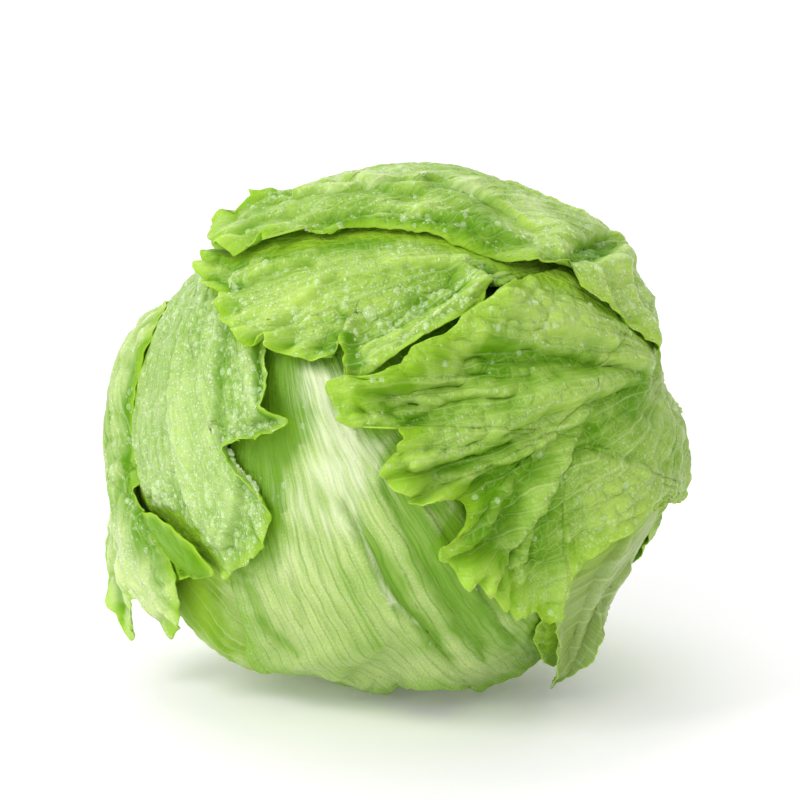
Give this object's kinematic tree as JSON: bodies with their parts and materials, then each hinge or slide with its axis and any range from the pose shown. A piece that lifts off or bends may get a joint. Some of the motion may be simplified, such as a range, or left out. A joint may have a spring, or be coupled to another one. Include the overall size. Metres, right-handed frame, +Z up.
{
  "type": "head of lettuce",
  "caption": "Round crisp head of lettuce: a tight inner head with loose, waved outer leaves draped over it and a cut stem end, resting on a small flat spot.",
  "frame": {"origin": "middle of the flat spot that the head rests on, on the surface below it", "axes": "+Z up, -Y towards the front with the pale front leaf, +X to the right, where the cut stem is"},
  "size_m": [0.1801, 0.172, 0.1601],
  "materials": {
    "green_leaf": "satin",
    "pale_leaf": "satin",
    "inner_head": "satin",
    "stem": "matte"
  },
  "bodies": {
    "root": {"inner_head": "inner_head", "stem": "stem", "crown_leaf": "green_leaf", "upper_front_leaf": "green_leaf", "right_leaf": "green_leaf", "left_leaf": "green_leaf", "far_left_leaf": "green_leaf", "left_inner_leaf": "green_leaf", "hanging_right_leaf": "green_leaf", "right_back_leaf": "green_leaf", "lower_right_leaf": "green_leaf", "back_leaf": "green_leaf", "back_left_leaf": "green_leaf", "front_leaf": "pale_leaf", "lower_left_leaf": "pale_leaf", "underneath_leaf": "pale_leaf"}
  },
  "joints": []
}
